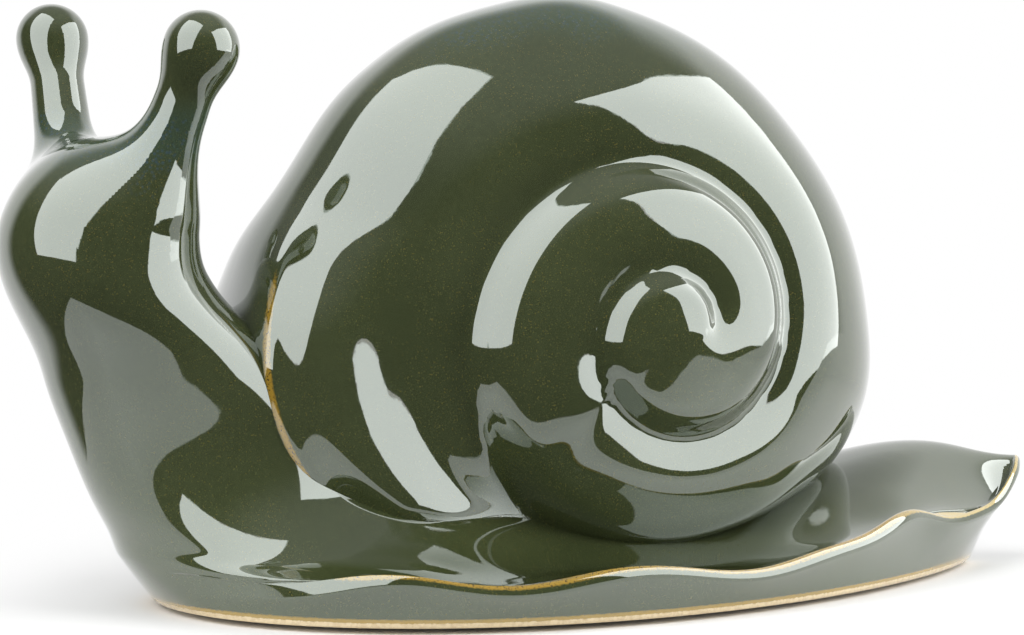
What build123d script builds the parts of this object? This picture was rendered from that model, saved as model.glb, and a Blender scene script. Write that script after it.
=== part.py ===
from build123d import *
import os
from math import pi, sin, cos, tan, acos, exp, log, floor, sqrt, radians

# Snail ornament in glazed stoneware, in millimetres.
# X runs from the head (-X) to the tail (+X), the snail's left side faces -Y, Z is up.
# Z = 0 is the table. Sizes below are measured from a point under the middle of the shell's spiral.

# Casting
WALL = 5.0                  # least thickness of the slip-cast walls
VENT_DIAMETER = 11.0        # firing vents in the underside
VENT_SETBACK = -8.0         # neck vent from the middle of the neck's root

# Pads under the foot
PAD_DIAMETER = 14.0
PAD_HEIGHT = 1.5
PAD_FRONT_X = -70.0
PAD_REAR_X = 62.0
PAD_FRONT_Y = 38.0
PAD_REAR_Y = 26.0

# Foot, as an egg-shaped plan with a wavy hem
FOOT_LENGTH = 229.5
FOOT_WIDTH = 136.0
FOOT_CENTRE_X = -4.75
TAIL_POINT = 1.7            # higher makes a sharper tail in plan
HEM_FLARE = 4.0             # hem beyond the base along the sides
TAIL_OVERHANG = 21.5        # hem beyond the base at the tail
HEM_HEIGHT = 11.2
HEM_ROUND = 2.4             # half the thickness of the hem
HEM_WAVE = 1.5
HEM_WAVE_COUNT = 11.5       # waves in a whole turn
HEM_CREST_ANGLE = 100.0     # degrees from the tail to a crest of the wave
TAIL_FLUTE = 9.0            # rise of the hem's last wave on each side
TAIL_FLUTE_ANGLE = 53.0     # degrees from the tail to that wave
TAIL_TIP_HEIGHT = 28.0
GUTTER_HEIGHT = 9.0         # lowest line of the foot's top, inside the hem
SADDLE_HEIGHT = 19.0        # crest of the foot under the shell
BACK_HEIGHT = 38.5          # crest of the tail where it leaves the shell
BACK_X = 80.0
SADDLE_END_X = 20.0
TAIL_GUTTER_RISE = 4.0      # how much higher the gutter lies along the tail

# Neck and head, as level ellipses: height, centre x, centre y, half length, half width
NECK_STATIONS = [
    (33.0, -92.0, -3.0, 42.0, 32.0),
    (48.0, -105.0, -4.5, 36.5, 29.0),
    (62.0, -118.0, -6.5, 29.5, 26.5),
    (76.0, -129.5, -8.5, 24.6, 24.8),
    (89.0, -133.5, -9.0, 22.9, 23.1),
    (100.0, -132.4, -9.0, 19.9, 20.1),
    (107.0, -131.7, -9.0, 14.3, 14.4),
    (111.3, -131.3, -9.0, 6.5, 6.6),
]
HEAD_TOP = (-131.2, -9.0, 112.3)
HEAD_TURN = 24.0            # degrees that the head looks to the snail's left

# Eye stalks
STALK_SPREAD = 14.5         # foot of each stalk from the head's middle
STALK_SETBACK = 2.0         # both feet behind the head's middle
STALK_FOOT_HEIGHT = 97.0
LEFT_STALK_LENGTH = 37.3    # from that foot to the middle of the knob
RIGHT_STALK_LENGTH = 44.2
STALK_SPLAY = 21.4          # degrees outward
STALK_RAKE = 8.3            # degrees backward
STALK_RADIUS = 5.9
STALK_FLARE = 8.8           # radius where the stalk runs out on the head
KNOB_RADIUS = 8.0

# Shell, as a spiral drawn round a pole that runs along Y
POLE_HEIGHT = 67.0
SHELL_HALF_WIDTH = 50.0
SHELL_OUTLINE = {           # angle from the tail side over the top: radius from the pole
    0: 75.5, 45: 74.2, 90: 83.0, 135: 88.0, 157: 92.0, 171: 102.5, 190: 104.0,
    212: 92.0, 240: 68.0, 270: 57.0, 315: 68.0, 338: 76.5,
}
SHELL_POINT = 0.25          # share of cone in the dome of each flank
FLANK_FULLNESS = 2.3        # roundness of the flanks at the rear and top
UNDER_FULLNESS = 3.6        # roundness at the underside
LIP_FULLNESS = 3.0          # roundness at the lip
SPIRAL_SIZE = 83.7          # groove radius = size * e^(growth * angle) - offset
SPIRAL_GROWTH = 0.068
SPIRAL_OFFSET = 35.1
SPIRAL_START = 250.0        # degrees, where the groove leaves the foot
SPIRAL_END = -400.0         # degrees, where the groove dies out near the pole
GROOVE_DEPTH = 0.085        # depth per millimetre of the spiral's reach
GROOVE_STEEP = 0.22         # share of a whorl that rises from the groove inward
GROOVE_GENTLE = 0.52        # share of a whorl that falls to the groove from outside
GROOVE_SHARPNESS = 1.7      # 1 is a V, more is a rounded whorl with a crisp groove

# Resolution of the lofts
SHELL_RINGS = 52            # on each flank of the shell
SHELL_POINTS = 48
BODY_POINTS = 60
NECK_RINGS = 16

BASE_Z = PAD_HEIGHT
TURN = 2 * pi


def smooth(value, low, high):
    share = min(1.0, max(0.0, (value - low) / (high - low)))
    return share * share * (3 - 2 * share)


def ring(point_at, count):
    # a closed smooth wire through evenly spaced points of a round curve
    points = [point_at(TURN * i / count) for i in range(count)]
    shares = [i / count for i in range(count + 1)]
    return Wire([Edge.make_spline(points, periodic=True, parameters=shares)])


def round_value(table, angle):
    # smooth closed curve through the values that a table gives at angles in degrees
    keys = sorted(table)
    count = len(keys)
    degrees_now = (angle * 180 / pi) % 360
    index = max(i for i in range(count) if keys[i] <= degrees_now)
    spots = [keys[(index + k) % count] + 360 * ((index + k) // count) for k in (-1, 0, 1, 2)]
    values = [table[keys[(index + k) % count]] for k in (-1, 0, 1, 2)]
    span = spots[2] - spots[1]
    slope_in = (values[2] - values[0]) / (spots[2] - spots[0]) * span
    slope_out = (values[3] - values[1]) / (spots[3] - spots[1]) * span
    t = (degrees_now - spots[1]) / span
    return (
        (2 * t**3 - 3 * t**2 + 1) * values[1]
        + (t**3 - 2 * t**2 + t) * slope_in
        + (3 * t**2 - 2 * t**3) * values[2]
        + (t**3 - t**2) * slope_out
    )


# Shell
def shell_fullness(angle):
    degrees_now = (angle * 180 / pi) % 360
    under = smooth(degrees_now, 150, 180) * (1 - smooth(degrees_now, 300, 335))
    lip = smooth(degrees_now, 150, 176) * (1 - smooth(degrees_now, 215, 245))
    return FLANK_FULLNESS + (UNDER_FULLNESS - FLANK_FULLNESS) * under + (LIP_FULLNESS - UNDER_FULLNESS) * lip


def flank_height(out, dome, flank):
    return (SHELL_HALF_WIDTH - flank) * ((1 - SHELL_POINT) * dome + SHELL_POINT * (1 - out))


def groove_reach(along):
    return SPIRAL_SIZE * exp(SPIRAL_GROWTH * (along - pi))


def groove_depth(radius, angle):
    # spiral groove in the flank: steep on its inner side and gentle on its outer side
    along = pi + log((radius + SPIRAL_OFFSET) / SPIRAL_SIZE) / SPIRAL_GROWTH
    place = (along - angle) / TURN
    inner = floor(place)
    sunk = 0.0
    sides = (inner, (place - inner) / GROOVE_GENTLE), (inner + 1, (inner + 1 - place) / GROOVE_STEEP)
    for turns, away in sides:
        spot = angle + TURN * turns
        fade = smooth(spot, radians(SPIRAL_END), radians(SPIRAL_END + 80))
        fade *= smooth(-spot, -radians(SPIRAL_START), -radians(SPIRAL_START - 45))
        sunk += fade * GROOVE_DEPTH * groove_reach(spot) * max(0.0, 1 - away) ** GROOVE_SHARPNESS
    return sunk


def shell_point(latitude, angle, inset, flank, carved):
    # latitude 0 is the left pole, pi / 2 the rim and pi the right pole
    power = shell_fullness(angle)
    ball = (sin(latitude) ** power + abs(cos(latitude)) ** power) ** (-1 / power)
    out = sin(latitude) * ball
    radius = (round_value(SHELL_OUTLINE, angle) - inset) * out
    height = flank_height(out, abs(cos(latitude)) * ball, flank)
    if carved:
        height -= groove_depth(radius, (angle + pi) % TURN - pi)
    side = -1 if latitude < pi / 2 else 1
    return Vector(radius * cos(angle), side * height, POLE_HEIGHT + radius * sin(angle))


def shell_form(inset=0.0, flank=0.0, rings=12, carved=False):
    # a dome on both sides, drawn in by an inset at the rim and another at the flanks
    half = SHELL_HALF_WIDTH - flank
    if carved:
        half -= groove_depth(0.0, 0.0)
    wires = []
    for index in range(1, 2 * rings):
        latitude = pi * index / (2 * rings)
        wires.append(ring(lambda a, u=latitude: shell_point(u, a, inset, flank, carved), SHELL_POINTS))
    poles = Vertex(0, -half, POLE_HEIGHT), Vertex(0, half, POLE_HEIGHT)
    return Solid.make_loft([poles[0], *wires, poles[1]], ruled=True)


def largest(shape):
    return max(shape.solids(), key=lambda solid: solid.volume)


shell_outer = shell_form(rings=SHELL_RINGS, carved=True)
shell_cavity = shell_form(WALL, WALL + GROOVE_DEPTH * groove_reach(radians(SPIRAL_START)))
shell_vent = Pos(0, 0, POLE_HEIGHT / 4) * Cylinder(VENT_DIAMETER / 2, POLE_HEIGHT / 2)
shell = largest(shell_outer - shell_cavity - shell_vent)


# Foot, neck and head
def plan_point(angle, half_length, half_width):
    # egg-shaped plan: angle 0 is the tail and pi the front
    point = TAIL_POINT
    peak = (point / (1 + point)) ** (point / 2) * (1 / (1 + point)) ** 0.5
    across = abs(sin(angle / 2)) ** point * cos(angle / 2) / peak
    return FOOT_CENTRE_X + half_length * cos(angle), half_width * across


def front_share(angle):
    return smooth(abs(angle - pi), radians(62), radians(24))


def hem_height(angle):
    tail = min(angle, TURN - angle)
    wave = HEM_WAVE * cos(HEM_WAVE_COUNT * (tail - radians(HEM_CREST_ANGLE))) * smooth(tail, 0.3, 0.6)
    flute = TAIL_FLUTE * exp(-((tail - radians(TAIL_FLUTE_ANGLE)) / 0.17) ** 2)
    tip = (TAIL_TIP_HEIGHT - HEM_HEIGHT) * exp(-((tail / 0.27) ** 2))
    return BASE_Z + HEM_HEIGHT + wave + flute + tip


def foot_top(x, y):
    # height of the foot's upper side between its hems
    half_length = FOOT_LENGTH / 2 + TAIL_OVERHANG
    abreast = acos(min(1.0, max(-1.0, (x - FOOT_CENTRE_X) / half_length)))
    edge_y = plan_point(abreast, half_length, FOOT_WIDTH / 2 + HEM_FLARE)[1]
    hem = hem_height(abreast)
    rise = smooth(x, SADDLE_END_X, BACK_X)
    fall = smooth(x, BACK_X, FOOT_CENTRE_X + half_length)
    crest = SADDLE_HEIGHT + (BACK_HEIGHT - SADDLE_HEIGHT) * rise - (BACK_HEIGHT - TAIL_TIP_HEIGHT) * fall
    gutter = BASE_Z + GUTTER_HEIGHT + TAIL_GUTTER_RISE * rise
    across = min(1.0, abs(y) / max(edge_y, 0.5))
    return gutter + (crest - gutter) * (1 - across**2) ** 2 + (hem - gutter) * across**6


def body_point(angle, level):
    # level 0 is the base edge, 1 the hem's outer side, 2 its crest, 3 its inner side, 4 the neck's root
    angle = angle % TURN
    root_z, root_x, root_y, root_length, root_width = NECK_STATIONS[0]
    root = Vector(root_x + root_length * cos(angle), root_y + root_width * sin(angle), root_z)
    base = Vector(*plan_point(angle, FOOT_LENGTH / 2, FOOT_WIDTH / 2), BASE_Z)
    tail = 1 - smooth(min(angle, TURN - angle), 0.25, 0.9)
    flare = HEM_FLARE + (TAIL_OVERHANG - HEM_FLARE) * tail
    hem_z = hem_height(angle)
    hem = Vector(*plan_point(angle, FOOT_LENGTH / 2 + flare, FOOT_WIDTH / 2 + flare), hem_z - HEM_ROUND)
    if level <= 1:
        side = base + (hem - base) * level**1.5
        side.Z = base.Z + (hem.Z - base.Z) * level
    else:
        reach = sqrt((hem.X - root.X) ** 2 + (hem.Y - root.Y) ** 2)
        inset = level - 3 if level > 3 else HEM_ROUND * (level - 1) / reach
        side = hem + (root - hem) * inset
        top = foot_top(side.X, side.Y) if level > 3 else hem_z - HEM_ROUND * abs(level - 2)
        side.Z = top + (root_z - top) * inset**4
    # the front has no hem: its wall runs straight from the base up to the neck
    climb = level / 10 if level <= 3 else 0.3 + 0.7 * (level - 3)
    return side + (base + (root - base) * climb - side) * front_share(angle)


def station_at(share):
    # neck ellipse at a share of the way up the stations, on a smooth curve through them
    spot = share * (len(NECK_STATIONS) - 1)
    index = min(int(spot), len(NECK_STATIONS) - 2)
    t = spot - index
    before, here, there, after = [
        NECK_STATIONS[min(max(index + k, 0), len(NECK_STATIONS) - 1)] for k in (-1, 0, 1, 2)
    ]
    return [
        q + 0.5 * t * (r - p + t * (2 * p - 5 * q + 4 * r - w + t * (3 * (q - r) + w - p)))
        for p, q, r, w in zip(before, here, there, after)
    ]


def neck_point(angle, share, inset=0.0):
    z, x, y, half_length, half_width = station_at(share)
    return Vector(x + (half_length - inset) * cos(angle), y + (half_width - inset) * sin(angle), z)


body_levels = [0, 0.2, 0.4, 0.6, 0.8, 1, 1.5, 2, 2.5, 3, 3.08, 3.16, 3.25, 3.35, 3.46, 3.58, 3.7, 3.85]
neck_shares = [i / NECK_RINGS for i in range(NECK_RINGS + 1)]
body_wires = [ring(lambda a, v=level: body_point(a, v), BODY_POINTS) for level in body_levels]
body_wires += [ring(lambda a, v=share: neck_point(a, v), BODY_POINTS) for share in neck_shares]
body_outer = Solid.make_loft([*body_wires, Vertex(*HEAD_TOP)], ruled=True)
neck_wires = [ring(lambda a, v=share: neck_point(a, v, WALL), BODY_POINTS) for share in neck_shares[:-2]]
neck_cavity = Solid.make_loft(neck_wires, ruled=True)
neck_cavity = largest(neck_cavity - shell_form(-WALL, -WALL))
vent_x = NECK_STATIONS[0][1] + VENT_SETBACK
vent_top = NECK_STATIONS[0][0] + WALL
neck_vent = Pos(vent_x, NECK_STATIONS[0][2], vent_top / 2) * Cylinder(VENT_DIAMETER / 2, vent_top)
body = body_outer - shell_outer - neck_cavity - neck_vent - shell_vent
body = largest(body)


# Eye stalks
def eye_stalk(side, length):
    # side 1 is the snail's left
    turn = radians(HEAD_TURN)
    forward = Vector(-cos(turn), -sin(turn), 0)
    sideways = Vector(sin(turn), -cos(turn), 0) * side
    middle = Vector(NECK_STATIONS[5][1], NECK_STATIONS[5][2], STALK_FOOT_HEIGHT)
    foot = middle + sideways * STALK_SPREAD - forward * STALK_SETBACK
    axis = Vector(0, 0, 1) + sideways * tan(radians(STALK_SPLAY)) - forward * tan(radians(STALK_RAKE))
    neck_end = length - KNOB_RADIUS * 1.25
    profile = Face(Wire([
        Edge.make_line((0, 0, 0), (STALK_FLARE, 0, 0)),
        Edge.make_spline(
            [(STALK_FLARE, 0, 0), (STALK_RADIUS * 1.2, 0, neck_end * 0.42), (STALK_RADIUS, 0, neck_end * 0.85),
             (KNOB_RADIUS, 0, length), (0, 0, length + KNOB_RADIUS)],
            tangents=[(-0.8, 0, 1), (-1, 0, 0)],
        ),
        Edge.make_line((0, 0, length + KNOB_RADIUS), (0, 0, 0)),
    ]))
    form = Plane(origin=foot, z_dir=axis) * revolve(profile, Axis.Z)
    return largest(form - body_outer)


left_eye_stalk = eye_stalk(1, LEFT_STALK_LENGTH)
right_eye_stalk = eye_stalk(-1, RIGHT_STALK_LENGTH)


# Pads
def pad(x, y):
    return Pos(x, y, PAD_HEIGHT / 2) * Cylinder(PAD_DIAMETER / 2, PAD_HEIGHT)


pieces = {
    "body": body,
    "shell": shell,
    "left_eye_stalk": left_eye_stalk,
    "right_eye_stalk": right_eye_stalk,
    "pad_front_left": pad(PAD_FRONT_X, -PAD_FRONT_Y),
    "pad_front_right": pad(PAD_FRONT_X, PAD_FRONT_Y),
    "pad_rear_left": pad(PAD_REAR_X, -PAD_REAR_Y),
    "pad_rear_right": pad(PAD_REAR_X, PAD_REAR_Y),
}

# The origin lies on the table under the middle of the whole object
solids = [solid for piece in pieces.values() for solid in piece.solids()]
middle = Compound(children=solids).bounding_box().center()
os.makedirs("parts", exist_ok=True)
for name, piece in pieces.items():
    placed = Pos(-middle.X, -middle.Y, 0) * piece
    export_step(placed, f"parts/{name}.step")
    print(name, placed.is_valid, round(placed.volume), placed.bounding_box())
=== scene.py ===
import math
import bpy
import numpy as np
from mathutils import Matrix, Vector


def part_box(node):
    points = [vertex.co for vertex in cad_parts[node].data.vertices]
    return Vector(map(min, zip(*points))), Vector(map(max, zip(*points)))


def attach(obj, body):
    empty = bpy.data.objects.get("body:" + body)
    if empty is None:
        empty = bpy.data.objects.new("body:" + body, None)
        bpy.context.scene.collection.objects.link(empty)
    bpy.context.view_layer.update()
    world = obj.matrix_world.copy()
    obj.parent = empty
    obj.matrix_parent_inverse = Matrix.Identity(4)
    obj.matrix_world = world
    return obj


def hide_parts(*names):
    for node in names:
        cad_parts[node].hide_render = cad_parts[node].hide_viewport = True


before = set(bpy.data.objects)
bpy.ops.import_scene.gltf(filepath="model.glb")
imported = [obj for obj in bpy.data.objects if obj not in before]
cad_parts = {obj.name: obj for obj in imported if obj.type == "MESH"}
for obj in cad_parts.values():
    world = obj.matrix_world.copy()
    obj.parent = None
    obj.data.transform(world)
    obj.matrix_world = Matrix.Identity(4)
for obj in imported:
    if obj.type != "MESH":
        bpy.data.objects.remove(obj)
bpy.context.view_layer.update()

# sizes are in millimetres from a point on the table under the shell's pole
padFromPole = -70.0
padLow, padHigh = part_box("pad_front_left")
poleX = (padLow.x + padHigh.x) / 2 * 1000 - padFromPole
baseHeight = padHigh.z * 1000


def toFrame(points):
    return (np.asarray(points, float) + np.array([poleX, 0.0, 0.0])) / 1000


def smooth(value, low, high):
    share = np.clip((value - low) / (high - low), 0, 1)
    return share * share * (3 - 2 * share)


# node trees
class Wire:
    # a socket whose operators add Math nodes
    def __init__(self, book, socket):
        self.book = book
        self.socket = socket

    def calc(self, operation, *others):
        return self.book.add("ShaderNodeMath", {"operation": operation}, [self, *others])

    def calcAfter(self, operation, first):
        return self.book.add("ShaderNodeMath", {"operation": operation}, [first, self])

    def __add__(self, other):
        return self.calc("ADD", other)

    def __mul__(self, other):
        return self.calc("MULTIPLY", other)

    __radd__ = __add__
    __rmul__ = __mul__

    def __sub__(self, other):
        return self.calc("SUBTRACT", other)

    def __rsub__(self, other):
        return self.calcAfter("SUBTRACT", other)

    def __truediv__(self, other):
        return self.calc("DIVIDE", other)

    def __rtruediv__(self, other):
        return self.calcAfter("DIVIDE", other)

    def __pow__(self, other):
        return self.calc("POWER", other)

    def __rpow__(self, other):
        return self.calcAfter("POWER", other)

    def step(self, low, high):
        settings = {"interpolation_type": "SMOOTHSTEP"}
        sockets = {"Value": self, "From Min": low, "From Max": high}
        return self.book.add("ShaderNodeMapRange", settings, sockets)

    def bump(self, rise, fall):
        # 1 between a rise and a fall, each a pair of ends
        return self.step(*rise) * (1 - self.step(*fall))


class NodeBook:
    def __init__(self, tree):
        self.tree = tree

    def add(self, kind, settings=None, sockets=None, out=0):
        node = self.tree.nodes.new(kind)
        for name, value in (settings or {}).items():
            setattr(node, name, value)
        pairs = sockets.items() if isinstance(sockets, dict) else enumerate(sockets or [])
        for key, value in pairs:
            if isinstance(value, Wire):
                self.tree.links.new(value.socket, node.inputs[key])
            else:
                node.inputs[key].default_value = value
        return Wire(self, node.outputs[out]) if len(node.outputs) else node

    def mix(self, factor, first, second):
        return self.add("ShaderNodeMix", {"data_type": "RGBA"}, {0: factor, 6: first, 7: second}, 2)

    def dot(self, place, way):
        return self.add("ShaderNodeVectorMath", {"operation": "DOT_PRODUCT"}, [place, tuple(way)], "Value")


def openTree(owner):
    # an empty shader tree for a material or the world
    owner.use_nodes = True
    owner.node_tree.nodes.clear()
    return NodeBook(owner.node_tree)


def placeObject(name, data):
    placed = bpy.data.objects.new(name, data)
    bpy.context.scene.collection.objects.link(placed)
    return placed


# materials
def noiseAt(book, place, scale, detail=2.0, rough=0.5):
    return book.add("ShaderNodeTexNoise", None,
                    {"Vector": place, "Scale": scale, "Detail": detail, "Roughness": rough})


def attributeOf(book, name):
    return book.add("ShaderNodeAttribute", {"attribute_name": name}, None, "Fac")


glazeLook = {
    "olive": (0.036, 0.046, 0.017, 1),
    "moss": (0.050, 0.062, 0.025, 1),
    "pool": (0.040, 0.075, 0.052, 1),
    "blue": (0.045, 0.080, 0.115, 1),
    "gold": (0.170, 0.135, 0.035, 1),
    "ochre": (0.330, 0.205, 0.024, 1),
    "honey": (0.560, 0.430, 0.160, 1),
    "umber": (0.070, 0.042, 0.012, 1),
    "clay": (0.660, 0.520, 0.310, 1),
    "darkClay": (0.560, 0.420, 0.230, 1),
    "sheen": (0.88, 1.0, 0.94, 1),
    # texture scales, per metre
    "cloudScale": 22, "grainScale": 900, "speckScale": 2600, "patchScale": 45,
    "dotScale": 900.0, "rippleScale": 38, "pitScale": 260,
    # shares of each colour where it shows, and the noise levels between which it comes in
    "poolShare": 0.5, "blueShare": 0.55, "goldShare": 0.55, "honeyShare": 0.8,
    "mossRange": (0.38, 0.62), "poolRange": (0.45, 1.0), "poolDrift": 0.7,
    "dotSize": 0.5, "dotEdge": 0.4, "clusterRange": (0.80, 1.05), "clusterCrown": 0.6,
    "goldRange": (0.63, 0.72), "goldPatch": (0.25, 0.55),
    "wornRange": (0.42, 0.66), "wornDrift": 0.35, "umberRange": (0.56, 0.68), "clayRange": (0.40, 0.62),
    # heights above the table in millimetres
    "clayTop": 2.6, "clayBlur": 0.15, "ochreFrom": 3.7, "ochreTo": 3.2, "lineWander": 0.6,
    "gloss": 0.035, "glossDrift": 0.03, "clayRough": 0.6, "pitShare": 0.06, "clayGrain": 0.3,
    "index": 1.85, "coatIndex": 1.6, "coatRough": 0.02, "ripple": 0.00022,
}


def makeGlaze(name, look):
    material = bpy.data.materials.new(name)
    book = openTree(material)
    place = book.add("ShaderNodeTexCoord", None, None, "Object")
    height = book.add("ShaderNodeSeparateXYZ", None, [place], "Z")
    cloud = noiseAt(book, place, look["cloudScale"], 3)
    grain = noiseAt(book, place, look["grainScale"], 3, 0.65)
    speck = noiseAt(book, place, look["speckScale"], 1)
    patch = noiseAt(book, place, look["patchScale"])
    crown = attributeOf(book, "crown")
    edge = attributeOf(book, "edge")
    pale = attributeOf(book, "pale")

    # olive ground, pooled and mottled blue where the crown mark is high, with gold specks
    ground = cloud * 0.6 + grain * 0.4
    colour = book.mix(ground.step(*look["mossRange"]), look["olive"], look["moss"])
    pooled = (crown + (cloud - 0.5) * look["poolDrift"]).step(*look["poolRange"])
    colour = book.mix(pooled * look["poolShare"], colour, look["pool"])
    dots = book.add("ShaderNodeTexVoronoi", None, {"Vector": place, "Scale": look["dotScale"]}, "Distance")
    dots = (look["dotSize"] - dots).step(0.0, look["dotEdge"])
    clusters = (crown * look["clusterCrown"] + patch).step(*look["clusterRange"])
    colour = book.mix(dots * clusters * look["blueShare"], colour, look["blue"])
    specks = speck.step(*look["goldRange"]) * patch.step(*look["goldPatch"])
    colour = book.mix(specks * look["goldShare"], colour, look["gold"])

    # glaze worn thin on edges, and the bare foot band
    broken = edge + (grain - 0.5) * look["wornDrift"]
    worn = book.mix(speck.step(*look["umberRange"]), look["ochre"], look["umber"])
    worn = book.mix(pale * look["honeyShare"], worn, look["honey"])
    colour = book.mix(broken.step(*look["wornRange"]), colour, worn)
    bareLine = height * 1000 + (grain - 0.5) * look["lineWander"]
    colour = book.mix(bareLine.step(look["ochreFrom"], look["ochreTo"]), colour, look["ochre"])
    bare = bareLine.step(look["clayTop"] + look["clayBlur"], look["clayTop"] - look["clayBlur"])
    clay = book.mix(grain.step(*look["clayRange"]), look["clay"], look["darkClay"])
    colour = book.mix(bare, colour, clay)

    rough = look["gloss"] + (cloud - 0.4) * look["glossDrift"] + bare * look["clayRough"]
    swell = noiseAt(book, place, look["rippleScale"])
    swell = swell + noiseAt(book, place, look["pitScale"]) * look["pitShare"]
    swell = swell + grain * bare * look["clayGrain"]
    bump = book.add("ShaderNodeBump", None, {"Strength": 1.0, "Distance": look["ripple"], "Height": swell})
    shader = book.add("ShaderNodeBsdfPrincipled", None, {
        "Base Color": colour, "Roughness": rough, "Normal": bump, "IOR": look["index"],
        "Specular Tint": look["sheen"],
        "Coat Weight": 1.0, "Coat Roughness": look["coatRough"], "Coat IOR": look["coatIndex"],
    })
    book.add("ShaderNodeOutputMaterial", None, {"Surface": shader})
    return material


rubberLook = {
    "dark": (0.012, 0.012, 0.013, 1), "worn": (0.035, 0.034, 0.033, 1),
    "grainScale": 1500, "grainRange": (0.35, 0.65), "grainDepth": 0.0001, "grainStrength": 0.6,
    "rough": 0.55, "roughDrift": 0.3,
}


def makeRubber(name, look):
    material = bpy.data.materials.new(name)
    book = openTree(material)
    place = book.add("ShaderNodeTexCoord", None, None, "Object")
    grain = noiseAt(book, place, look["grainScale"], 3)
    colour = book.mix(grain.step(*look["grainRange"]), look["dark"], look["worn"])
    bump = book.add("ShaderNodeBump", None, {
        "Strength": look["grainStrength"], "Distance": look["grainDepth"], "Height": grain,
    })
    rough = look["rough"] + grain * look["roughDrift"]
    shader = book.add("ShaderNodeBsdfPrincipled", None, {
        "Base Color": colour, "Roughness": rough, "Normal": bump,
    })
    book.add("ShaderNodeOutputMaterial", None, {"Surface": shader})
    return material


bodyGlaze = makeGlaze("bodyGlaze", glazeLook)
shellGlaze = makeGlaze("shellGlaze", glazeLook)
stalkGlaze = makeGlaze("stalkGlaze", glazeLook)
padRubber = makeRubber("padRubber", rubberLook)
print("materials made")


# meshes
def makePiece(name, points, faces, material, marks):
    mesh = bpy.data.meshes.new(name)
    mesh.from_pydata(toFrame(points).tolist(), [], [list(face) for face in faces])
    for mark, values in marks.items():
        layer = mesh.attributes.new(mark, "FLOAT", "POINT")
        layer.data.foreach_set("value", np.asarray(values, np.float32))
    mesh.materials.append(material)
    mesh.polygons.foreach_set("use_smooth", np.ones(len(mesh.polygons), bool))
    mesh.validate()
    return placeObject(name, mesh)


def finishPiece(piece, slot, *nodes):
    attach(piece, "root")
    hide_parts(*nodes)


def splineThrough(knots, values, wanted):
    # natural cubic curve through rows of values
    knots = np.asarray(knots, float)
    values = np.asarray(values, float)
    gap = np.diff(knots)
    slope = np.diff(values, axis=0) / gap[:, None]
    size = len(knots)
    system = np.eye(size)
    right = np.zeros_like(values)
    for i in range(1, size - 1):
        system[i, i - 1:i + 2] = gap[i - 1], 2 * (gap[i - 1] + gap[i]), gap[i]
        right[i] = 6 * (slope[i] - slope[i - 1])
    bend = np.linalg.solve(system, right)
    spot = np.clip(np.searchsorted(knots, wanted, side="right") - 1, 0, size - 2)
    width = gap[spot][:, None]
    after = (wanted - knots[spot])[:, None]
    before = width - after
    return (bend[spot] * before**3 + bend[spot + 1] * after**3) / (6 * width) \
        + (values[spot] / width - bend[spot] * width / 6) * before \
        + (values[spot + 1] / width - bend[spot + 1] * width / 6) * after


# foot, neck and head
footForm = {
    # crestAngle, fluteAngle, frontRange, chestRange and wornStart are in degrees, other angles in radians
    "length": 232.0, "width": 136.0, "centre": -1.0, "tailPoint": 1.7,
    "flare": 4.0, "tailOverhang": 16.5, "overhangRange": (0.25, 0.9),
    "wallCurve": 1.5, "tailStraighter": 0.4,
    "hemHeight": 11.2, "hemRound": 2.4, "tailThinner": 0.4,
    "hemWave": 1.5, "waves": 11.5, "crestAngle": 100.0, "waveRange": (0.3, 0.6),
    "flute": 9.0, "fluteAngle": 53.0, "fluteSpread": 0.17,
    "tipHeight": 28.0, "tipSpread": 0.5, "tipFill": 16.0, "tipSharpness": 8, "hemSharpness": 6,
    "gutter": 8.0, "gutterRise": 4.0, "saddle": 14.0, "saddleEnd": 20.0, "back": 38.5, "backX": 80.0,
    "frontRange": (54.0, 16.0), "frontClimb": 0.3, "chestRise": 6.0, "chestRange": (14.0, 44.0),
    "rootSharpness": 4,
    # recess under the foot: its plan against the base, its shift and its depth
    "recessPlan": (0.93, 0.90), "recessShift": 0.28, "recessDepth": 0.8,
    # glaze worn off the hem: where on its round, how wide, and where it starts and turns paler
    "wornLevel": 1.9, "wornWidth": (0.27, 0.58), "wornWidening": (0.15, 0.9),
    "wornStart": (49.0, 39.0), "paleRange": (0.75, 1.1),
    "columns": 300, "wallRows": 16, "beadRows": 17, "topRows": 62, "topRange": (0.02, 0.97),
    "softPasses": 220, "softFrom": (4, 26), "softTo": (12, 40),
}
neckForm = {
    # height, centre x, centre y, half length, half width
    "stations": [
        (33.0, -93.0, 0.5, 43.5, 26.5), (48.0, -105.0, -2.0, 37.3, 25.5),
        (62.0, -117.4, -5.2, 29.5, 24.8), (76.0, -129.5, -8.5, 24.6, 24.4),
    ],
    "headCentre": (-133.6, -9.0, 88.0), "headSize": (22.9, 23.1, 24.3), "headLean": 0.10,
    "latitudes": (4, 18, 32, 46, 60, 75, 90, 105, 120), "pastTop": 2, "rings": 150,
}
# the pooled glaze on the head and the feet of the stalks, by height
crownForm = {"start": 92.0, "full": 110.0, "fade": 114.0, "end": 128.0}


def planOf(angle, halfLength, halfWidth):
    point = footForm["tailPoint"]
    peak = (point / (1 + point)) ** (point / 2) * (1 / (1 + point)) ** 0.5
    across = np.abs(np.sin(angle / 2)) ** point * np.cos(angle / 2) / peak
    return footForm["centre"] + halfLength * np.cos(angle), halfWidth * across


def frontShare(angle):
    return smooth(np.abs(angle - math.pi), *np.radians(footForm["frontRange"]))


def crownAt(height):
    return np.clip((height - crownForm["start"]) / (crownForm["full"] - crownForm["start"]), 0, 1)


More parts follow.
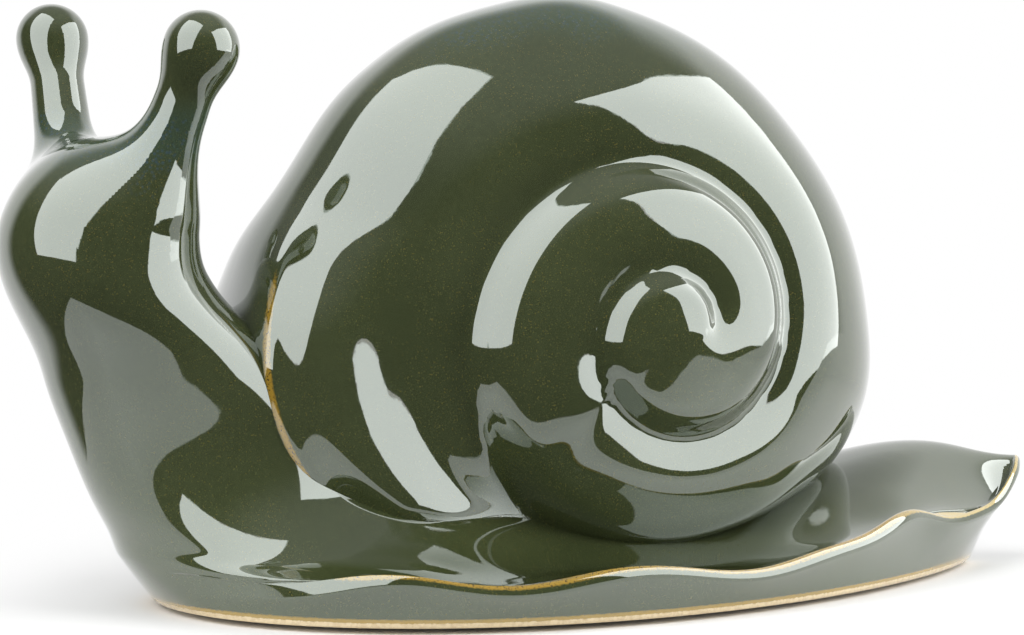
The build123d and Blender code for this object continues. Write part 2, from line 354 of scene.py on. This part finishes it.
def hemAt(angle):
    tail = np.minimum(angle, 2 * math.pi - angle)
    wave = np.cos(footForm["waves"] * (tail - math.radians(footForm["crestAngle"])))
    wave = wave * smooth(tail, *footForm["waveRange"])
    flute = (tail - math.radians(footForm["fluteAngle"])) / footForm["fluteSpread"]
    flute = footForm["flute"] * np.exp(-(flute**2))
    tip = np.exp(-((tail / footForm["tipSpread"]) ** 3))
    tip = (footForm["tipHeight"] - footForm["hemHeight"]) * tip
    chest = footForm["chestRise"] * (1 - smooth(math.pi - tail, *np.radians(footForm["chestRange"])))
    return baseHeight + footForm["hemHeight"] + footForm["hemWave"] * wave + flute + tip + chest


def footTop(x, y):
    halfLength = footForm["length"] / 2 + footForm["tailOverhang"]
    abreast = np.arccos(np.clip((x - footForm["centre"]) / halfLength, -1, 1))
    edgeY = planOf(abreast, halfLength, footForm["width"] / 2 + footForm["flare"])[1]
    rise = smooth(x, footForm["saddleEnd"], footForm["backX"])
    fall = smooth(x, footForm["backX"], footForm["centre"] + halfLength)
    crest = footForm["saddle"] + (footForm["back"] - footForm["saddle"]) * rise
    crest = crest - (footForm["back"] - footForm["tipHeight"] - baseHeight) * fall
    gutter = baseHeight + footForm["gutter"] + footForm["gutterRise"] * rise
    gutter = gutter + footForm["tipFill"] * fall ** footForm["tipSharpness"]
    across = np.minimum(1.0, np.abs(y) / np.maximum(edgeY, 0.5))
    hem = (hemAt(abreast) - gutter) * across ** footForm["hemSharpness"]
    return gutter + (crest - gutter) * (1 - across**2) ** 2 + hem


def ellipse(angle, z, x, y, halfLength, halfWidth):
    return np.stack([x + halfLength * np.cos(angle), y + halfWidth * np.sin(angle), 0 * angle + z], 1)


def neckLine(angle, height):
    # the neck's lowest stretch, carried on straight
    low, high = np.array(neckForm["stations"][:2])
    return ellipse(angle, *(low + (high - low) * (height - low[0]) / (high[0] - low[0])))


def bodyRing(angle, level):
    # level 0 is the base edge, 1 the hem's outer side, 2 its crest, 3 its inner side, 4 the neck's root
    halfLength, halfWidth = footForm["length"] / 2, footForm["width"] / 2
    root = ellipse(angle, *neckForm["stations"][0])
    rootZ = neckForm["stations"][0][0]
    base = np.stack([*planOf(angle, halfLength, halfWidth), baseHeight + 0 * angle], 1)
    tail = 1 - smooth(np.minimum(angle, 2 * math.pi - angle), *footForm["overhangRange"])
    flare = footForm["flare"] + (footForm["tailOverhang"] - footForm["flare"]) * tail
    bead = footForm["hemRound"] * (1 - footForm["tailThinner"] * tail)
    hemZ = hemAt(angle)
    hem = np.stack([*planOf(angle, halfLength + flare, halfWidth + flare), hemZ - bead], 1)
    if level <= 1:
        curve = footForm["wallCurve"] - footForm["tailStraighter"] * tail
        side = base + (hem - base) * level ** curve[:, None]
        side[:, 2] = base[:, 2] + (hem[:, 2] - base[:, 2]) * level
    else:
        reach = np.hypot(hem[:, 0] - root[:, 0], hem[:, 1] - root[:, 1])
        turn = (level - 1) * math.pi / 2
        inset = level - 3 + 0 * reach if level > 3 else bead * (1 - math.cos(turn)) / reach
        side = hem + (root - hem) * inset[:, None]
        top = footTop(side[:, 0], side[:, 1])
        if level <= 3:
            rolled = hemZ - bead + bead * math.sin(turn)
            top = np.maximum(rolled, top) if level > 2 else rolled
        side[:, 2] = top + (rootZ - top) * inset ** footForm["rootSharpness"]
    climb = np.interp(level, (0, 3, 4), (0, footForm["frontClimb"], 1))
    front = neckLine(angle, rootZ + (baseHeight - rootZ) * (1 - climb))
    front = front + (base - neckLine(angle, baseHeight)) * (1 - climb) ** 2
    return side + (front - side) * frontShare(angle)[:, None]


def headRing(latitude):
    centre, size = neckForm["headCentre"], neckForm["headSize"]
    rise = size[2] * math.sin(latitude)
    return (centre[2] + rise, centre[0] + neckForm["headLean"] * rise, centre[1],
            size[0] * math.cos(latitude), size[1] * math.cos(latitude))


def neckRings():
    rows = list(neckForm["stations"])
    rows += [headRing(math.radians(latitude)) for latitude in neckForm["latitudes"]]
    rows = np.array(rows)
    travel = np.hypot(np.diff(rows[:, 0]), np.diff(rows[:, 3]))
    knots = np.concatenate([[0], np.cumsum(travel)])
    top = knots[-1 - neckForm["pastTop"]]
    return splineThrough(knots, rows, np.linspace(0, top, neckForm["rings"]))


def makeBody():
    columns = footForm["columns"]
    angle = np.arange(columns) * 2 * math.pi / columns
    lower = [*np.linspace(0, 1, footForm["wallRows"]), *np.linspace(1, 3, footForm["beadRows"])[1:]]
    upper = 3 + np.linspace(*footForm["topRange"], footForm["topRows"])
    levels = np.array([*lower, *upper])
    rings = [bodyRing(angle, level) for level in levels]
    stations = neckRings()
    rings += [ellipse(angle, *station) for station in stations[:-1]]
    grid = np.array(rings)
    # soften the hollow between the hem and the neck
    spot = np.arange(len(grid))
    weight = smooth(spot - len(lower), *footForm["softFrom"])
    weight = weight * (1 - smooth(spot - len(levels), *footForm["softTo"]))
    for _ in range(footForm["softPasses"]):
        soft = (np.roll(grid, 1, 1) + np.roll(grid, -1, 1)) * 0.25
        soft[1:-1] += (grid[:-2] + grid[2:]) * 0.25
        grid[1:-1] += (soft[1:-1] - grid[1:-1]) * weight[1:-1, None, None]
    inner = grid[0] * np.array([*footForm["recessPlan"], 1]) + np.array([footForm["recessShift"], 0, 0])
    recess = inner + np.array([0, 0, footForm["recessDepth"]])
    rings = np.concatenate([[recess, inner], grid])
    points = np.concatenate([rings.reshape(-1, 3), [recess.mean(0)], [stations[-1][[1, 2, 0]]]])
    faces = []
    for k in range(len(rings) - 1):
        for i in range(columns):
            j = (i + 1) % columns
            faces.append((k * columns + i, k * columns + j, (k + 1) * columns + j, (k + 1) * columns + i))
    last = (len(rings) - 1) * columns
    bottom, top = len(points) - 2, len(points) - 1
    for i in range(columns):
        j = (i + 1) % columns
        faces.append((bottom, j, i))
        faces.append((last + i, last + j, top))
    # marks for the glaze; the recess and the neck lie far from the hem's levels
    allLevels = np.concatenate([[-1, -1], levels, np.full(len(grid) - len(levels), 9.0)])
    side = 1 - smooth(np.abs(angle - math.pi), *np.radians(footForm["wornStart"]))
    tail = np.minimum(angle, 2 * math.pi - angle)
    thin, thick = footForm["wornWidth"]
    width = thin + (thick - thin) * smooth(tail, *footForm["wornWidening"])
    edge = np.exp(-((allLevels[:, None] - footForm["wornLevel"]) / width[None, :]) ** 2) * side[None, :]
    pale = (1 - smooth(tail, *footForm["paleRange"]))[None, :] + 0 * edge
    crown = crownAt(rings[:, :, 2])
    marks = {name: np.concatenate([mark.ravel(), [0, 0]])
             for name, mark in (("edge", edge), ("pale", pale), ("crown", crown))}
    return makePiece("snailBody", points, faces, bodyGlaze, marks)


bodyPiece = makeBody()
finishPiece(bodyPiece, "body_glaze", "body")
print("body made", len(bodyPiece.data.polygons), "faces")


# eye stalks
stalkForm = {
    # turn, splay, rake and sharpAngle are in degrees
    "turn": 24.0, "spread": 14.5, "setback": 2.0, "foot": 97.0, "splay": 21.4, "rake": 8.3,
    "length": {1: 37.3, -1: 44.2},  # left and right
    "shaft": 6.3, "root": 8.2, "knob": 7.9, "knobBlend": 6.0, "headBlend": 13.0,
    "bury": 5.0, "pairBlend": 8.0, "overlap": 1.6, "drop": 24.0,
    "sink": 0.006, "dive": 1.3, "diveRange": (-0.4, 5.0), "seamDip": 0.06, "skirt": 2.4, "reach": 25.0,
    "leanHeight": 100.0, "headSeam": 1.7, "ringsTop": 2.0,
    "step": 0.7, "rounds": 12, "leastSlope": 0.05, "room": 38.0, "knobRoom": 12.0, "floorRoom": 2.0,
    "sharpAngle": 50.0,
}


def softMin(first, second, width):
    share = np.maximum(width - np.abs(first - second), 0) / width
    return np.minimum(first, second) - share * share * width / 4


def headField(points):
    # distance from the head, and below it from the neck's own rings
    centre, size = neckForm["headCentre"], neckForm["headSize"]
    rise = points[..., 2] - centre[2]
    x = (points[..., 0] - centre[0] - neckForm["headLean"] * rise) / size[0]
    y = (points[..., 1] - centre[1]) / size[1]
    head = (np.sqrt(x * x + y * y + (rise / size[2]) ** 2) - 1) * size[0]
    rings = neckRings()
    rings = rings[rings[:, 0] < centre[2] + stalkForm["ringsTop"]]
    x, y, halfLength, halfWidth = (np.interp(points[..., 2], rings[:, 0], rings[:, k]) for k in (1, 2, 3, 4))
    neck = (np.hypot((points[..., 0] - x) / halfLength, (points[..., 1] - y) / halfWidth) - 1) * halfLength
    return np.where(rise > stalkForm["headSeam"], head, neck)


def stalkAxes(side):
    turn = math.radians(stalkForm["turn"])
    forward = np.array([-math.cos(turn), -math.sin(turn), 0])
    sideways = np.array([math.sin(turn), -math.cos(turn), 0]) * side
    centre = neckForm["headCentre"]
    lean = neckForm["headLean"] * (stalkForm["leanHeight"] - centre[2])
    middle = np.array([centre[0] + lean, centre[1], stalkForm["foot"]]) - forward * stalkForm["setback"]
    axis = np.array([0, 0, 1]) + sideways * math.tan(math.radians(stalkForm["splay"])) \
        - forward * math.tan(math.radians(stalkForm["rake"]))
    return middle, sideways, middle + sideways * stalkForm["spread"], axis / np.linalg.norm(axis)


def stalkField(points, side):
    foot, axis = stalkAxes(side)[2:]
    length = stalkForm["length"][side]
    along = (points - foot) @ axis
    away = np.linalg.norm(points - foot - along[..., None] * axis, axis=-1)
    past = np.maximum(along - length, 0) + np.maximum(-along - stalkForm["bury"], 0)
    taper = np.maximum(1 - np.maximum(along, 0) / length, 0) ** 2
    taper = (stalkForm["root"] - stalkForm["shaft"]) * taper
    shaft = np.hypot(away, past) - stalkForm["shaft"] - taper
    knob = np.linalg.norm(points - foot - length * axis, axis=-1) - stalkForm["knob"]
    return softMin(shaft, knob, stalkForm["knobBlend"]), away


def stalkSolid(points, side):
    middle, sideways = stalkAxes(side)[:2]
    own, away = stalkField(points, side)
    head = headField(points)
    other = stalkField(points, -side)[0]
    blend = stalkForm["headBlend"]
    # past the fillet the skin dives under the head
    sunk = smooth(np.minimum(own, other) - blend, *stalkForm["diveRange"])
    sunk = stalkForm["sink"] + stalkForm["dive"] * sunk
    skin = softMin(head + sunk, softMin(own, other, stalkForm["pairBlend"]), blend)
    # the two skirts overlap at the middle, each sinking under the other
    beyond = -(points - middle) @ sideways
    skin = skin + stalkForm["seamDip"] * smooth(beyond, 0, stalkForm["overlap"])
    limits = np.maximum(beyond - stalkForm["overlap"], away - stalkForm["reach"])
    limits = np.maximum(limits, stalkForm["foot"] - stalkForm["drop"] - points[..., 2])
    return np.maximum(np.maximum(skin, limits), -head - stalkForm["skirt"])


def skinOf(field, low, high, step):
    # a closed quad skin on the zero surface of a field: one point in each cell that the surface crosses
    axes = [np.arange(a, b + step, step) for a, b in zip(low, high)]
    inside = field(np.stack(np.meshgrid(*axes, indexing="ij"), -1)) < 0
    cells = np.array(inside.shape) - 1
    count = sum(inside[a:a + cells[0], b:b + cells[1], c:c + cells[2]].astype(int)
                for a in (0, 1) for b in (0, 1) for c in (0, 1))
    active = (count > 0) & (count < 8)
    index = np.full(cells, -1)
    index[active] = np.arange(active.sum())
    points = np.array(low) + (np.argwhere(active) + 0.5) * step
    nudge = 0.01
    for _ in range(stalkForm["rounds"]):
        value = field(points)
        slope = np.stack([field(points + way) - field(points - way) for way in np.eye(3) * nudge], 1)
        slope = slope / (2 * nudge)
        steep = np.maximum((slope**2).sum(1), stalkForm["leastSlope"])
        points = points - slope * (value / steep)[:, None]
    quads = []
    for axis in range(3):
        one, two = (axis + 1) % 3, (axis + 2) % 3
        here = np.take(inside, range(inside.shape[axis] - 1), axis)
        there = np.take(inside, range(1, inside.shape[axis]), axis)
        edges = np.argwhere(here != there)
        flip = here[tuple(edges.T)]
        corners = []
        for a, b in ((-1, -1), (0, -1), (0, 0), (-1, 0)):
            cell = edges.copy()
            cell[:, one] += a
            cell[:, two] += b
            corners.append(index[tuple(cell.T)])
        corners = np.stack(corners, 1)
        corners[~flip] = corners[~flip][:, ::-1]
        quads.append(corners)
    return points, np.concatenate(quads)


def makeStalk(name, side):
    foot, axis = stalkAxes(side)[2:]
    knob = foot + axis * stalkForm["length"][side]
    room, knobRoom = stalkForm["room"], stalkForm["knobRoom"]
    low = np.minimum(foot - room, knob - knobRoom)
    high = np.maximum(foot + [room, room, 0], knob + knobRoom)
    low[2] = foot[2] - stalkForm["drop"] - stalkForm["floorRoom"]
    points, faces = skinOf(lambda spot: stalkSolid(spot, side), low, high, stalkForm["step"])
    height = points[:, 2]
    fade = np.clip((crownForm["end"] - height) / (crownForm["end"] - crownForm["fade"]), 0, 1)
    piece = makePiece(name, points, faces, stalkGlaze, {"crown": crownAt(height) * fade})
    piece.data.set_sharp_from_angle(angle=math.radians(stalkForm["sharpAngle"]))
    return piece


leftStalk = makeStalk("leftEyeStalk", 1)
rightStalk = makeStalk("rightEyeStalk", -1)
finishPiece(leftStalk, "stalk_glaze", "left_eye_stalk")
finishPiece(rightStalk, "stalk_glaze", "right_eye_stalk")
print("eye stalks made", len(leftStalk.data.polygons), "and", len(rightStalk.data.polygons), "faces")


# spiral shell
shellForm = {
    # rim as angle in degrees and radius from the pole
    "outline": [(0, 75.5), (45, 74.2), (90, 83.6), (112, 87.6), (135, 91.0), (157, 93.0), (171, 99.5),
                (190, 103.0), (212, 92.0), (240, 68.0), (270, 57.0), (315, 68.0), (338, 76.5)],
    "outlineSteps": 64,
    # capitalised names are the tree's own inputs
    "Pole Height": 67.0, "Half Width": 50.0, "Cone Share": 0.25,
    "Fullness": 2.3, "Under Fullness": 2.7, "Under Radius": 78.0, "Lip Flare": 12.0,
    "Lip Place": 0.955, "Lip Roll": 1.1, "Round Radius": 88.0,
    "Spiral Size": 83.7, "Spiral Growth": 0.068, "Spiral Offset": 35.1,
    "Spiral Start": 285.0, "Spiral End": -400.0, "Groove Depth": 0.085,
    "Steep Share": 0.22, "Gentle Share": 0.52,
    # where round the rim, in degrees, the boxy underside, the mouth and its worn line come and go
    "underRise": (222.0, 262.0), "underFall": (300.0, 335.0),
    "mouthRise": (158.0, 186.0), "mouthFall": (212.0, 240.0), "wornRise": (161.0, 177.0),
    # where between pole and rim the flare and the rim's own outline come in
    "flareReach": (0.70, 0.93), "flareDome": (-0.05, 0.35), "rimReach": (0.60, 1.0), "rimBlend": 10.0,
    "endFade": 80, "startFade": 45, "grooveSharpness": 1.7,
    # the lip's bead, with a hollow beside it, in bead widths
    "beadWidth": 0.016, "hollowPlace": 2.6, "hollowWidth": 1.6, "hollowDepth": 0.9,
    "wornSharpness": 3, "wornShare": 0.72, "crownRange": (48.0, 88.0),
    "columns": 380, "rows": 230, "softPasses": 4, "weld": 0.00002,
}


def shellTree():
    tree = bpy.data.node_groups.new("spiralShell", "GeometryNodeTree")
    tree.interface.new_socket("Geometry", in_out="INPUT", socket_type="NodeSocketGeometry")
    tree.interface.new_socket("Geometry", in_out="OUTPUT", socket_type="NodeSocketGeometry")
    sizes = [name for name in shellForm if name[0].isupper()]
    for name in sizes:
        tree.interface.new_socket(name, in_out="INPUT", socket_type="NodeSocketFloat")
    tree.interface.new_socket("Glaze", in_out="INPUT", socket_type="NodeSocketMaterial")
    book = NodeBook(tree)
    entry = tree.nodes.new("NodeGroupInput")
    given = {name: Wire(book, entry.outputs[name]) for name in ["Geometry", *sizes, "Glaze"]}

    def choose(low, high, share):
        return low + (high - low) * share

    named = book.add("GeometryNodeMeshGrid", None, {
        "Size X": 1.0, "Size Y": 1.0,
        "Vertices X": shellForm["columns"] + 1, "Vertices Y": shellForm["rows"] + 1,
    }, "Mesh")
    spot = book.add("GeometryNodeInputPosition")
    along = book.add("ShaderNodeSeparateXYZ", None, [spot], "X") + 0.5
    across = book.add("ShaderNodeSeparateXYZ", None, [spot], "Y") + 0.5
    rimSpot = book.add("GeometryNodeSampleCurve", {"mode": "FACTOR"},
                       {"Curves": given["Geometry"], "Factor": along}, "Position")
    rimX = book.add("ShaderNodeSeparateXYZ", None, [rimSpot], "X") * 1000 - poleX
    rimZ = book.add("ShaderNodeSeparateXYZ", None, [rimSpot], "Z") * 1000 - given["Pole Height"]
    turn = rimZ.calc("ARCTAN2", rimX)
    rim = (rimX * rimX + rimZ * rimZ).calc("SQRT")

    # dome from the pole to the rim, boxier underneath, flared at the lip
    degrees = turn * (180 / math.pi)
    bearing = degrees.calc("LESS_THAN", 0.0) * 360 + degrees
    under = bearing.bump(shellForm["underRise"], shellForm["underFall"])
    mouth = bearing.bump(shellForm["mouthRise"], shellForm["mouthFall"])
    worn = bearing.bump(shellForm["wornRise"], shellForm["mouthFall"])
    power = choose(given["Fullness"], given["Under Fullness"], under)
    latitude = across * math.pi
    reachOut = latitude.calc("SINE").calc("MAXIMUM", 0.0)
    reachUp = latitude.calc("COSINE")
    ball = (reachOut ** power + reachUp.calc("ABSOLUTE") ** power) ** (-1 / power)
    out = reachOut * ball
    dome = reachUp.calc("ABSOLUTE") * ball
    flank = given["Half Width"] * ((1 - given["Cone Share"]) * dome + given["Cone Share"] * (1 - out))
    flare = mouth * out.step(*shellForm["flareReach"]) * dome.step(*shellForm["flareDome"])
    flank = flank + given["Lip Flare"] * flare
    inside = rim.calc("SMOOTH_MAX", given["Under Radius"], shellForm["rimBlend"])
    inside = inside.calc("SMOOTH_MIN", given["Round Radius"], shellForm["rimBlend"])
    radius = out * choose(inside, rim, out.step(*shellForm["rimReach"]))

    # spiral groove: a whole number of turns marks the groove, the rest is the place on the whorl
    spiralTurn = ((radius + given["Spiral Offset"]) / given["Spiral Size"]).calc("LOGARITHM", math.e)
    spiralTurn = (spiralTurn / given["Spiral Growth"] + (math.pi - turn)) / (2 * math.pi)
    inner = spiralTurn.calc("FLOOR")
    place = spiralTurn - inner

    def groove(share, distance, turnCount):
        swept = turn + turnCount * (2 * math.pi)
        start, end = given["Spiral Start"], given["Spiral End"]
        fade = (swept * (180 / math.pi)).bump((end, end + shellForm["endFade"]),
                                              (start - shellForm["startFade"], start))
        reach = given["Spiral Size"] * (given["Spiral Growth"] * (swept - math.pi)).calc("EXPONENT")
        fall = (1 - distance / share).calc("MAXIMUM", 0.0)
        return fade * given["Groove Depth"] * reach * fall ** shellForm["grooveSharpness"]

    sunk = groove(given["Gentle Share"], place, inner) + groove(given["Steep Share"], 1 - place, inner + 1)
    # rolled lip: a low bead just inside the rim, with the glaze worn off its crest
    away = (out - given["Lip Place"]) / shellForm["beadWidth"]
    bead = mouth * (away * away * -1).calc("EXPONENT")
    hollow = (away + shellForm["hollowPlace"]) / shellForm["hollowWidth"]
    hollow = mouth * (hollow * hollow * -1).calc("EXPONENT")
    sunk = sunk + hollow * shellForm["hollowDepth"] - bead * given["Lip Roll"]
    side = reachUp.calc("SIGN")
    smoothBall = book.add("ShaderNodeCombineXYZ", None, [
        (radius * turn.calc("COSINE") + poleX) / 1000,
        side * flank / -1000,
        (radius * turn.calc("SINE") + given["Pole Height"]) / 1000,
    ])
    wornLine = (away * away * -shellForm["wornSharpness"]).calc("EXPONENT")
    marks = {
        "crown": (radius * turn.calc("SINE")).step(*shellForm["crownRange"]),
        "edge": worn * wornLine * shellForm["wornShare"],
        "sunk": side * sunk / 1000,
    }
    for mark, value in marks.items():
        named = book.add("GeometryNodeStoreNamedAttribute", {"data_type": "FLOAT", "domain": "POINT"},
                         {"Geometry": named, "Name": mark, "Value": value})
    shaped = book.add("GeometryNodeSetPosition", None, {"Geometry": named, "Position": smoothBall})
    closed = book.add("GeometryNodeMergeByDistance", None,
                      {"Geometry": shaped, "Distance": shellForm["weld"]})
    outward = book.add("GeometryNodeFlipFaces", None, {"Mesh": closed})
    number = {"data_type": "FLOAT"}
    carved = book.add("GeometryNodeInputNamedAttribute", number, {"Name": "sunk"}, "Attribute")
    carved = book.add("GeometryNodeBlurAttribute", number,
                      {"Value": carved, "Iterations": shellForm["softPasses"]})
    inward = book.add("ShaderNodeCombineXYZ", None, [0.0, carved, 0.0])
    pressed = book.add("GeometryNodeSetPosition", None, {"Geometry": outward, "Offset": inward})
    rounded = book.add("GeometryNodeSetShadeSmooth", None, {"Geometry": pressed})
    real = book.add("GeometryNodeRealizeInstances", None, {"Geometry": rounded})
    painted = book.add("GeometryNodeSetMaterial", None, {"Geometry": real, "Material": given["Glaze"]})
    exitNode = tree.nodes.new("NodeGroupOutput")
    tree.links.new(painted.socket, exitNode.inputs["Geometry"])
    return tree


def makeShell():
    drawn = bpy.data.curves.new("shellOutline", "CURVE")
    drawn.dimensions = "3D"
    drawn.resolution_u = shellForm["outlineSteps"]
    line = drawn.splines.new("BEZIER")
    line.bezier_points.add(len(shellForm["outline"]) - 1)
    line.use_cyclic_u = True
    for knot, (degrees, radius) in zip(line.bezier_points, shellForm["outline"]):
        angle = math.radians(degrees)
        knot.handle_left_type = knot.handle_right_type = "AUTO"
        height = shellForm["Pole Height"] + radius * math.sin(angle)
        knot.co = toFrame([radius * math.cos(angle), 0, height])
    outline = placeObject("shellOutline", drawn)
    tree = shellTree()
    modifier = outline.modifiers.new("spiral", "NODES")
    modifier.node_group = tree
    for item in tree.interface.items_tree:
        if item.in_out == "INPUT" and item.name in shellForm:
            modifier[item.identifier] = shellForm[item.name]
        if item.in_out == "INPUT" and item.name == "Glaze":
            modifier[item.identifier] = shellGlaze
    bpy.context.view_layer.update()
    graph = bpy.context.evaluated_depsgraph_get()
    mesh = bpy.data.meshes.new_from_object(outline.evaluated_get(graph), depsgraph=graph)
    outline.modifiers.remove(modifier)
    bpy.data.objects.remove(outline)
    mesh.name = "spiralShell"
    return placeObject("spiralShell", mesh)


shellPiece = makeShell()
finishPiece(shellPiece, "shell_glaze", "shell")
print("shell made", len(shellPiece.data.polygons), "faces")

# pads keep their solids
for name in ("pad_front_left", "pad_front_right", "pad_rear_left", "pad_rear_right"):
    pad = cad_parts[name]
    pad.data.materials.clear()
    pad.data.materials.append(padRubber)
print("pads painted")

# studio
studio = {
    # camera: turn and tilt in degrees, distance in metres, aim beside and above the pole in millimetres
    "psi": 23.0, "tilt": 1.0, "distance": 0.572, "lens": 77.3, "sensor": 36, "clip": 0.01,
    "aside": -22.9, "lift": 2.3,
    # name, azimuth from the camera's line to the right, elevation, distance, size, power
    "boxes": [
        ("leftBox", -42.0, 35.0, 0.95, (0.88, 1.45), 13.0),
        ("rightBox", 78.0, 24.0, 1.00, (1.20, 1.10), 15.0),
    ],
    "room": 0.045, "ceiling": 0.25, "ceilingRange": (0.35, 0.95),
    "sweep": 1.0, "sweepRange": (0.15, 0.45), "sweepTop": (0.6, 0.9),
    # the table's edges in metres from the pole, its white, and where it turns plain white to the eye
    "tableFront": 0.145, "tableLeft": 0.185, "tableRight": 4, "tableDepth": 8,
    "tableWhite": (0.86, 0.86, 0.86, 1),
    "plainAway": (0.16, 0.42), "plainAhead": (0.09, 0.135), "plainAside": (0.13, 0.175),
}
psi, tilt = math.radians(studio["psi"]), math.radians(studio["tilt"])
rightWay = Vector((math.cos(psi), -math.sin(psi), 0))
backWay = Vector((-math.sin(psi) * math.cos(tilt), -math.cos(psi) * math.cos(tilt), math.sin(tilt)))
upWay = backWay.cross(rightWay)
pole = Vector((poleX / 1000, 0, shellForm["Pole Height"] / 1000))
target = pole + rightWay * studio["aside"] / 1000 + upWay * studio["lift"] / 1000

lensData = bpy.data.cameras.new("camera")
lensData.lens = studio["lens"]
lensData.sensor_width = studio["sensor"]
lensData.clip_start = studio["clip"]
cameraPiece = placeObject("camera", lensData)
cameraPiece.location = target + backWay * studio["distance"]
cameraPiece.rotation_euler = backWay.to_track_quat("Z", "Y").to_euler()
bpy.context.scene.camera = cameraPiece

flatBack = Vector((backWay.x, backWay.y, 0)).normalized()
for name, azimuth, elevation, distance, size, power in studio["boxes"]:
    turn, rise = math.radians(azimuth), math.radians(elevation)
    way = (flatBack * math.cos(turn) + rightWay * math.sin(turn)) * math.cos(rise)
    way = way + Vector((0, 0, math.sin(rise)))
    lamp = bpy.data.lights.new(name, "AREA")
    lamp.shape = "RECTANGLE"
    lamp.size, lamp.size_y = size
    lamp.energy = power
    box = placeObject(name, lamp)
    box.location = pole + way * distance
    box.rotation_euler = way.to_track_quat("Z", "Y").to_euler()
    box.visible_camera = False

floorMesh = bpy.data.meshes.new("floor")
nearEdge = Vector((pole.x, 0, 0)) + flatBack * studio["tableFront"]
floorCorners = [nearEdge - rightWay * studio["tableLeft"], nearEdge + rightWay * studio["tableRight"]]
floorCorners += [corner - flatBack * studio["tableDepth"] for corner in reversed(floorCorners)]
floorMesh.from_pydata([tuple(corner) for corner in floorCorners], [], [(0, 1, 2, 3)])
floorPiece = placeObject("floor", floorMesh)


def paintFloor():
    material = bpy.data.materials.new("paleFloor")
    book = openTree(material)
    place = book.add("ShaderNodeTexCoord", None, None, "Object")
    distance = book.add("ShaderNodeVectorMath", {"operation": "LENGTH"}, [place], "Value")
    seen = book.add("ShaderNodeLightPath", None, None, "Is Camera Ray")
    for ray in ("Is Glossy Ray", "Is Transmission Ray"):
        seen = seen.calc("MAXIMUM", book.add("ShaderNodeLightPath", None, None, ray))
    matt = book.add("ShaderNodeBsdfDiffuse", None, {"Color": studio["tableWhite"]})
    bright = book.add("ShaderNodeEmission", None, {"Color": (1, 1, 1, 1), "Strength": 1.0})
    ahead = book.dot(place, flatBack) - pole.x * flatBack.x
    aside = book.dot(place, -rightWay) + pole.x * rightWay.x
    plain = distance.step(*studio["plainAway"]).calc("MAXIMUM", ahead.step(*studio["plainAhead"]))
    plain = plain.calc("MAXIMUM", aside.step(*studio["plainAside"]))
    shader = book.add("ShaderNodeMixShader", None, [seen * plain, matt, bright])
    book.add("ShaderNodeOutputMaterial", None, {"Surface": shader})
    return material


floorMesh.materials.append(paintFloor())

world = bpy.data.worlds.new("studio")
bpy.context.scene.world = world
book = openTree(world)
heading = book.add("ShaderNodeTexCoord", None, None, "Generated")
behind = book.dot(heading, -backWay)
overhead = book.add("ShaderNodeSeparateXYZ", None, [heading], "Z")
sweep = behind.step(*studio["sweepRange"]) * (1 - overhead.step(*studio["sweepTop"]))
seen = book.add("ShaderNodeLightPath", None, None, "Is Camera Ray")
level = studio["room"] + overhead.step(*studio["ceilingRange"]) * studio["ceiling"]
level = level + sweep * (studio["sweep"] - studio["room"])
colour = book.mix(seen.calc("MAXIMUM", level), (0, 0, 0, 1), (1, 1, 1, 1))
sky = book.add("ShaderNodeBackground", None, {"Color": colour, "Strength": 1.0})
book.add("ShaderNodeOutputWorld", None, {"Surface": sky})

bpy.context.scene.view_settings.view_transform = "Standard"
print("studio made")
